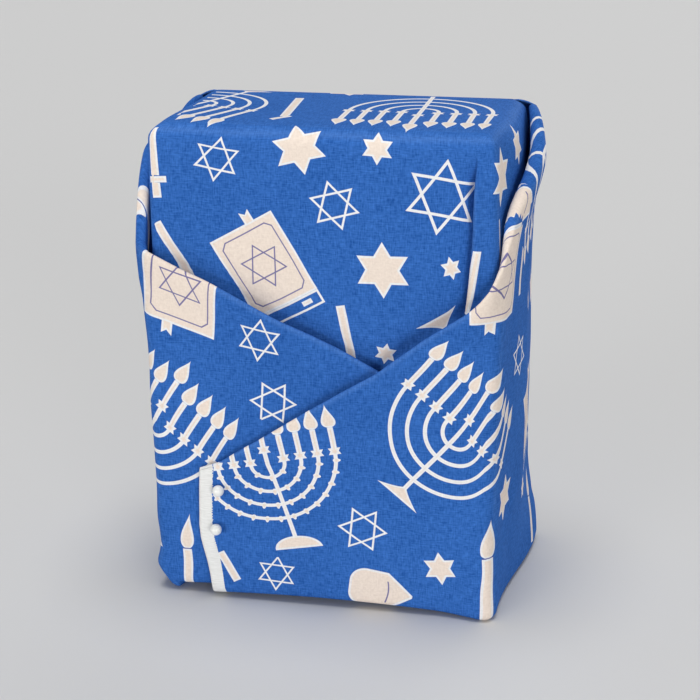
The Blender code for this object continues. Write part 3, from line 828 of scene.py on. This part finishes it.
def printed(finish):
    """How much of the white ink and of the fine blue lines in it covers the cloth: two signals from 0 to 1."""
    x, y, kind = finish.attribute("print_place").split()
    size, more, lean = finish.attribute("print_numbers").split()

    # Stars of two triangles, seen by their three directions
    up, down = triangles(x, y)
    inner = 0.25 * size
    outline = abs(up - inner).min(abs(down - inner)) - 0.5 * more
    shapes = {OUTLINE_STAR: outline, SOLID_STAR: up.min(down) - inner}

    # Lamps with nine arms, in units of the distance between arms
    beads = kind.is_kind(BEADED_LAMP)
    below = (0.0 - y.min(0.0)) * (1.0 + 0.16 * beads)
    aside = abs(x)
    round_out = (x * x + below * below).sqrt()
    arm = finish.add("ShaderNodeMath", {"operation": "ROUND"}, {0: round_out})
    arm = arm.clamp(1.0, 4.0)
    turn = finish.add("ShaderNodeMath", {"operation": "ARCTAN2"}, {0: x, 1: below + 0.001})
    bead = finish.add("ShaderNodeMath", {"operation": "COSINE"}, {0: turn * arm * 7.5})
    bead = (bead * 3.0 - 1.9).clamp() * beads
    arcs = abs(round_out - arm - 0.05 * bead) - 0.115 - 0.11 * bead
    arcs = arcs.max(y - 0.05)
    aside = abs(x - lean * (1.0 - beads) * y.max(0.0))
    across = aside - finish.add("ShaderNodeMath", {"operation": "ROUND"}, {0: aside}).clamp(0.0, 4.0)
    height = y - 0.75 * aside.maths("LESS_THAN", aside, 0.5)
    knob_up, knob_down = triangles(across, height - 0.22)
    knob = knob_up.min(knob_down) - 0.21
    candles = box(across, height - 0.5 * more, 0.16, 0.5 * more)
    flames = flame(across, height - more, 0.42, 1.5)
    stem_x = x - lean * beads * (0.0 - y.min(0.0)) - lean * (1.0 - beads) * y.max(0.0)
    stem = (abs(stem_x) - 0.13).max(y - 0.8).max(-5.0 - y)
    dome_x, dome_y = abs(stem_x) / 1.45, ((y + 5.5) / 0.85).clamp()
    dome = (dome_x * dome_x + dome_y * dome_y).sqrt() - 1.0
    fan = dome_x - (1.0 - dome_y) * (1.0 - 0.4 * dome_y)
    dome = (beads * dome + (1.0 - beads) * fan).max(box(x, y + 5.05, 3.0, 0.45))
    arms = knob.min(candles).min(flames).max(aside - 4.6)
    shapes[LAMP] = shapes[BEADED_LAMP] = arcs.min(arms).min(stem).min(dome) * size

    # Book, drawn out of square by lean: cover, ribbon, outlined pages; blue frame and star
    is_book = kind.is_kind(BOOK)
    book_x = x + lean * y
    cover = box(book_x, y, size, more)
    ribbon_x = book_x - 2.6
    ribbon = box(ribbon_x, y - more - 1.2, 1.3, 1.8).max(y - more - 2.0 - 0.8 * abs(ribbon_x))
    page_y = y + more + 2.0
    pages = abs(box(book_x, page_y, size - 0.35, 1.7)) - 0.28
    stamp = box(book_x - 0.55 * size, page_y, 1.3, 0.65)
    shapes[BOOK] = cover.min(ribbon).min(pages).min(stamp)
    cut_corner = (abs(book_x) + abs(y) - size - more + 5.2) * 0.7
    frame_line = abs(box(book_x, y, size - 1.9, more - 1.9).max(cut_corner)) - 0.16
    book_up, book_down = triangles(book_x, y)
    star_line = abs(book_up - 2.8).min(abs(book_down - 2.8)) - 0.17
    blue = ink(frame_line.min(star_line)) * is_book

    # Candle with a fine line under its flame, bars and the spinning top
    waver = finish.add("ShaderNodeMath", {"operation": "SINE"}, {0: 0.55 * y + 0.6})
    body = box(x + 0.1 * waver, y + 0.5 * size, 1.22, 0.5 * size)
    shapes[CANDLE] = body.min(flame(x - lean * y * y, y - 0.1, 1.9, more))
    blue = blue + ink(box(x, y - 0.15, 1.3, 0.16)) * kind.is_kind(CANDLE)
    shapes[BAR] = box(x, y, 0.5 * more, 0.5 * size)
    rounded = (((aside - 1.6).max(0.0) * (aside - 1.6).max(0.0) + (y - 2.0).max(0.0) * (y - 2.0).max(0.0)).sqrt() - 3.6)
    point = (aside * 0.75 - (y + 9.0) * 0.62)
    handle = box(x, y - 7.0, 0.8, 2.4) + 9.0 * (1.0 - more)
    shapes[SPINNING_TOP] = rounded.max(point).max(-8.6 - y).min(handle)
    blue = blue + ink(abs(y + 3.2 - 0.05 * x * x) - 0.16) * ink(aside - 2.9) * kind.is_kind(SPINNING_TOP)

    shape = 9.0 + sum(kind.is_kind(what) * (distance - 9.0) for what, distance in shapes.items())
    return ink(shape), ((-0.40 - shape) / 0.20).clamp(), blue, x, y, kind


def printed_cotton():
    finish = Finish("printed_cotton", Sheen_Weight=0.06, Sheen_Roughness=0.5, Sheen_Tint=(0.12, 0.35, 0.95, 1),
                    Specular_IOR_Level=0.02)
    thread = finish.add("ShaderNodeUVMap", {"uv_map": "print"}, {}, "UV")
    at = finish.add("ShaderNodeTexCoord", {}, {}, "Object")
    warp = finish.noise(finish.stretch(thread, (3.2, 0.42, 1.0)), 1.0, 1.0, 0.5)
    weft = finish.noise(finish.stretch(thread, (0.42, 3.2, 1.0)), 1.0, 1.0, 0.5)
    mottle = finish.noise(at, 1500.0, 1.0, 0.5)
    cloudy = finish.noise(at, 45.0, 2.0, 0.5)
    weave = warp.max(weft)
    depth = (1.0 * (warp + weft - 1.0) + 0.6 * (mottle - 0.5) + 0.35 * (cloudy - 0.5) + 0.5).clamp()
    cotton = finish.mix(depth, (0.012, 0.076, 0.315, 1), (0.056, 0.196, 0.610, 1))
    white, filled, blue, inward, up, kind = printed(finish)
    dull = (0.5 + 0.8 * (mottle - 0.5) + 0.9 * (weave - 0.55)).clamp()
    line_colour = finish.mix(dull, (0.77, 0.77, 0.78, 1), (0.95, 0.94, 0.94, 1))
    print_colour = finish.mix(filled, line_colour, finish.mix(dull, (0.77, 0.65, 0.555, 1), (0.96, 0.84, 0.735, 1)))
    # Paler blue near fold edges, corners and the pleat's lip: partly rubbed cotton, partly a painted highlight
    edge_distance = finish.attribute("from_edge", "Fac")
    rub_and_highlight = (1.0 - abs(edge_distance) / 1.1).clamp() * (0.2 + 0.8 * warp)
    cotton = finish.mix(0.30 * rub_and_highlight, cotton, (0.16, 0.33, 0.72, 1))
    cotton = finish.mix(white, cotton, print_colour)
    cotton = finish.mix(blue.clamp() * 0.85, cotton, (0.075, 0.075, 0.30, 1))
    wide = 1000 * SELVEDGE + 1000 * SELVEDGE_FOOT * (1.0 - up / 20.0).clamp()
    edge = kind.is_kind(SELVEDGE_PRINT) * ink(inward - wide + 0.9 * (weft - 0.5))
    cotton = finish.mix(edge, cotton, finish.mix(weft, (0.72, 0.72, 0.69, 1), (0.97, 0.97, 0.95, 1)))
    height = 0.6 * weave + 0.25 * mottle + 0.12 * white
    bump = finish.add("ShaderNodeBump", {}, {"Strength": 0.55, "Distance": 0.00018, "Height": height}, "Normal")
    roughness = 0.72 + 0.16 * (weave - 0.5) + 0.06 * white
    return finish.surface(Base_Color=cotton, Roughness=roughness, Normal=bump)


def new_object(name, mesh):
    thing = bpy.data.objects.new(name, mesh)
    bpy.context.scene.collection.objects.link(thing)
    return thing


mesh = cloth_mesh()
lay_print(mesh)
cloth = new_object("furoshiki_cloth", mesh)
wall = cloth.modifiers.new("Layer", "SOLIDIFY")
wall.thickness = CLOTH
wall.offset = 0.0
mesh.materials.append(printed_cotton())
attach(cloth, "root")
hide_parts("wrap_cloth")


def pearl_bead():
    finish = Finish("pearl_bead", Coat_Weight=0.8, Coat_Roughness=0.08, Specular_IOR_Level=0.5)
    at = finish.add("ShaderNodeTexCoord", {}, {}, "Object")
    swirl = finish.noise(finish.stretch(at, (1.0, 0.6, 1.8)), 700.0, 3.0, 0.6)
    colour = finish.mix(swirl, (0.86, 0.90, 0.84, 1), (0.95, 0.92, 0.90, 1))
    bump = finish.add("ShaderNodeBump", {}, {"Strength": 0.2, "Distance": 0.00005, "Height": swirl}, "Normal")
    return finish.surface(Base_Color=colour, Roughness=0.2 + 0.2 * swirl, Normal=bump)


def pin_steel():
    finish = Finish("pin_steel", Metallic=1.0)
    at = finish.add("ShaderNodeTexCoord", {}, {}, "Object")
    grain = finish.noise(finish.stretch(at, (1.0, 0.2, 1.0)), 3000.0, 2.0, 0.5)
    return finish.surface(Base_Color=finish.mix(grain, (0.5, 0.5, 0.5, 1), (0.66, 0.66, 0.64, 1)), Roughness=0.25 + 0.2 * grain)


def pin_mesh(name, head):
    """A pearl-headed pin pushed into the cloth behind head: bead, its mouth, collar and shank."""
    bm = bmesh.new()
    turn = Matrix.Translation(head) @ Matrix.Rotation(math.pi / 2, 4, "X")
    bead = bmesh.ops.create_uvsphere(bm, u_segments=48, v_segments=32, radius=PIN_HEAD / 2)["verts"]
    for v in bead:
        if v.co.z < -PIN_HEAD * 0.36:
            v.co.z = -PIN_HEAD * 0.36 - 0.1 * (-v.co.z - PIN_HEAD * 0.36)   # flat round the shank
    for radius, length, start in ((0.00052, 0.00032, 0.36), (0.00027, 0.0016, 0.45)):
        place = Matrix.Translation((0, 0, -PIN_HEAD * start - length / 2))
        rod = bmesh.ops.create_cone(bm, cap_ends=True, segments=24, radius1=radius, radius2=radius, depth=length, matrix=place)
        edges = {e for v in rod["verts"] for e in v.link_edges if e.calc_face_angle(0) > 1}
        bmesh.ops.bevel(bm, geom=list(edges), offset=radius * 0.3, segments=2, profile=0.5, affect="EDGES", material=-1)
    bm.faces.ensure_lookup_table()
    for f in bm.faces:
        f.material_index = int(f.calc_center_median().z < -PIN_HEAD * 0.37)
    bmesh.ops.transform(bm, matrix=turn, verts=bm.verts)
    bmesh.ops.recalc_face_normals(bm, faces=bm.faces)
    mesh = bpy.data.meshes.new(name)
    bm.to_mesh(mesh)
    bm.free()
    mesh.shade_smooth()
    return mesh


PIN_HEAD = 0.0030
pearl, steel = pearl_bead(), pin_steel()
for node, name in (("pin_upper", "pearl_pin_upper"), ("pin_lower", "pearl_pin_lower")):
    low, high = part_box(node)
    head = Vector(((low[0] + high[0]) / 2, low[1] + PIN_HEAD / 2, (low[2] + high[2]) / 2))
    pin = new_object(name, pin_mesh(name, head))
    pin.data.materials.append(pearl)
    pin.data.materials.append(steel)
    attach(pin, "root")
    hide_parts(node)

# Floor, light and camera
bm = bmesh.new()
bmesh.ops.create_grid(bm, x_segments=1, y_segments=1, size=4.0)
floor_mesh = bpy.data.meshes.new("floor")
bm.to_mesh(floor_mesh)
bm.free()
floor = new_object("floor", floor_mesh)
plain = bpy.data.materials.new("floor")
plain.use_nodes = True
plain.node_tree.nodes["Principled BSDF"].inputs["Base Color"].default_value = (0.67, 0.67, 0.67, 1)
plain.node_tree.nodes["Principled BSDF"].inputs["Roughness"].default_value = 0.9
floor_mesh.materials.append(plain)

world = bpy.data.worlds.new("studio")
bpy.context.scene.world = world
world.use_nodes = True
world.node_tree.nodes["Background"].inputs["Color"].default_value = (0.8, 0.8, 0.8, 1)
world.node_tree.nodes["Background"].inputs["Strength"].default_value = 0.3


def add_lamp(name, toward, spread, power):
    """Even soft light that comes from the direction toward."""
    lamp = bpy.data.lights.new(name, "SUN")
    lamp.angle = math.radians(spread)
    lamp.energy = power
    thing = bpy.data.objects.new(name, lamp)
    bpy.context.scene.collection.objects.link(thing)
    thing.rotation_euler = Vector(toward).to_track_quat("Z", "Y").to_euler()


add_lamp("left_box", (-0.55, -1.0, 0.06), 26, 1.42)
add_lamp("right_box", (0.60, -1.0, 0.06), 26, 1.42)
add_lamp("ceiling", (0.0, 0.0, 1.0), 36, 1.7)
add_lamp("back_box", (0.25, 1.0, 0.25), 40, 0.7)
bpy.context.scene.view_settings.view_transform = "Standard"

camera = bpy.data.cameras.new("camera")
camera.lens = 84
camera.sensor_width = 36
camera.clip_start = 0.01
camera_object = bpy.data.objects.new("camera", camera)
bpy.context.scene.collection.objects.link(camera_object)
azimuth, elevation, distance = math.radians(11), math.radians(18.2), 0.43
aim = Vector((0.001, 0.0, 0.0615))
reach = Vector((math.sin(azimuth) * math.cos(elevation), -math.cos(azimuth) * math.cos(elevation), math.sin(elevation)))
camera_object.location = aim + reach * distance
camera_object.rotation_euler = (-reach).to_track_quat("-Z", "Y").to_euler()
bpy.context.scene.camera = camera_object
